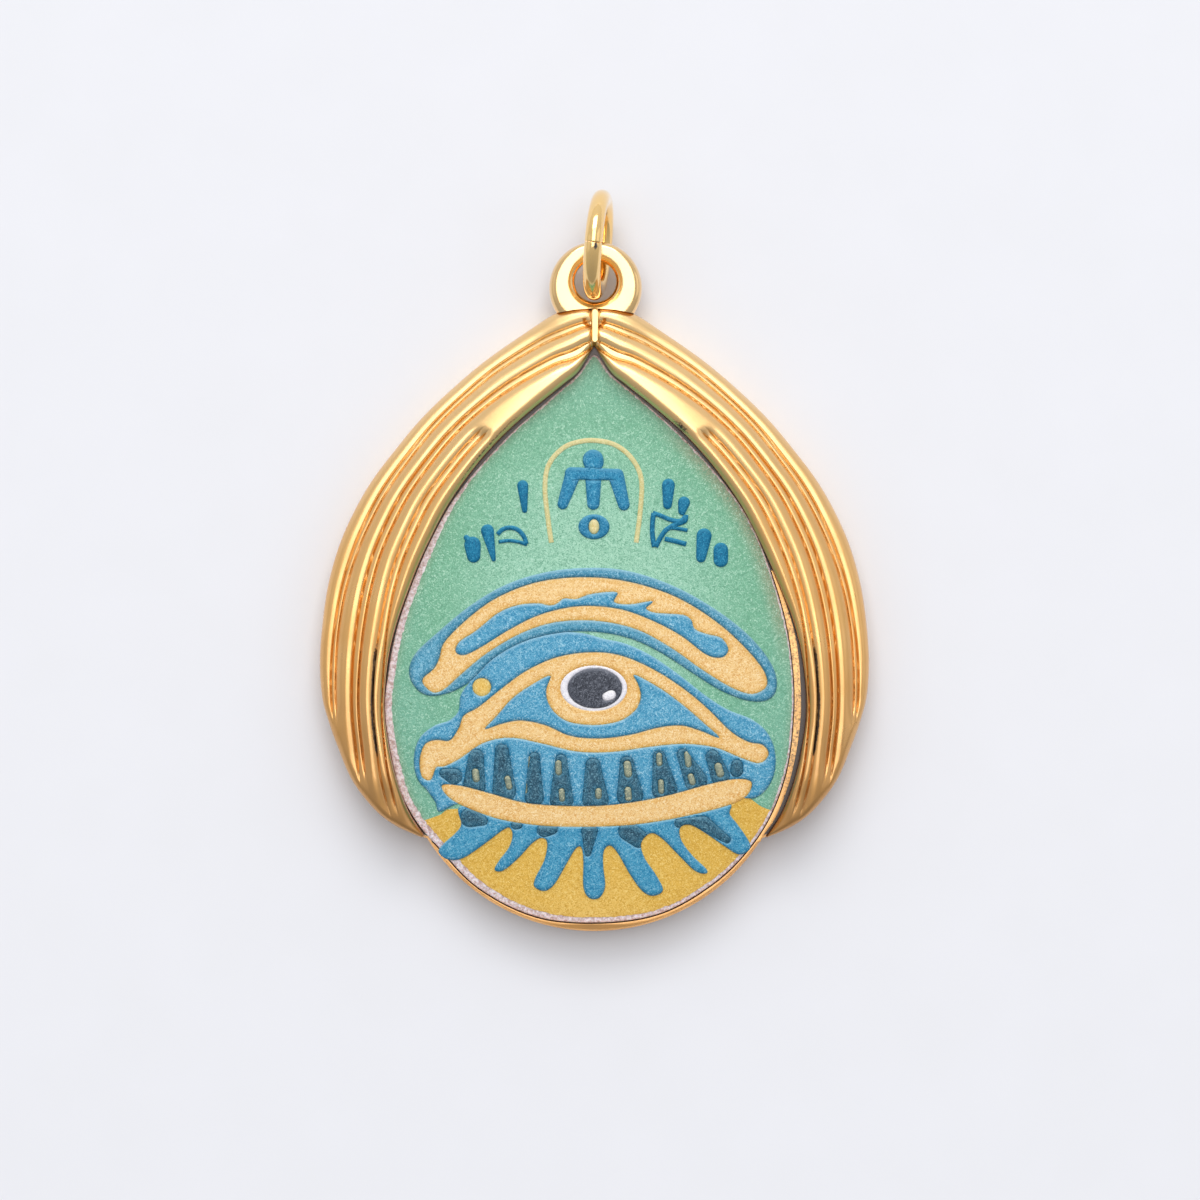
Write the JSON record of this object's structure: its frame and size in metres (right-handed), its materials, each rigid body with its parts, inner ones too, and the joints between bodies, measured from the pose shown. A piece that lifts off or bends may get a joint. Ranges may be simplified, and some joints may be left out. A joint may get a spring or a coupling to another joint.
{
  "type": "evil eye ornament",
  "caption": "Gold drop-shaped pendant charm with fluted drapes round a raised printed eye on a pale domed insert, hung from a swinging jump ring.",
  "frame": {"origin": "point of the flat back face behind the middle of the round bowl, in line with the hanging eye", "axes": "+Z out of the decorated face, +Y from the bowl up to the hanging eye, +X to the right as the face is seen"},
  "size_m": [0.0248, 0.0334, 0.005],
  "materials": {
    "gold_plate": "polished gold plating on a die casting",
    "gold_ring": "polished gold-plated wire",
    "resin_stone": "cut and lightly polished acrylic",
    "glue": "clear epoxy",
    "green_ink": "UV-cured ink with a fine grain",
    "corn_ink": "UV-cured ink with a fine grain",
    "cream_ink": "UV-cured ink with a fine grain",
    "blue_ink": "raised UV-cured ink with a fine grain",
    "navy_ink": "raised UV-cured ink with a fine grain",
    "white_ink": "UV-cured ink with a fine grain",
    "black_ink": "raised UV-cured ink with a fine grain"
  },
  "bodies": {
    "pendant": {"back_plate": "gold_plate", "bottom_rim": "gold_plate", "left_drape": "gold_plate", "right_drape": "gold_plate", "apex_collar": "gold_plate", "hanging_eye": "gold_plate", "glue_bed": "glue", "stone": "resin_stone", "green_field_ink": "green_ink", "gold_field_ink": "corn_ink", "arch_ink": "cream_ink", "brow_ink": "cream_ink", "brow_band_ink": "blue_ink", "brow_streak_ink": "blue_ink", "lid_ink": "blue_ink", "eye_line_ink": "cream_ink", "eye_fill_ink": "blue_ink", "corner_bead_ink": "cream_ink", "sclera_ink": "white_ink", "pupil_ink": "black_ink", "glint_ink": "white_ink", "teeth_ink": "navy_ink", "seed_ink": "cream_ink", "lower_lid_ink": "cream_ink", "lash_ink": "blue_ink", "lash_root_ink": "navy_ink", "sprout_ink": "blue_ink", "side_leaf_ink": "blue_ink"},
    "ring": {"jump_ring": "gold_ring"}
  },
  "joints": [
    {"name": "ring_swing", "type": "hinge", "parent": "pendant", "child": "ring", "pos_m": [0.00023, 0.02084, 0.00167], "axis": [0.9907, -0.0867, 0.1045], "range_deg": [-146, 4]}
  ]
}
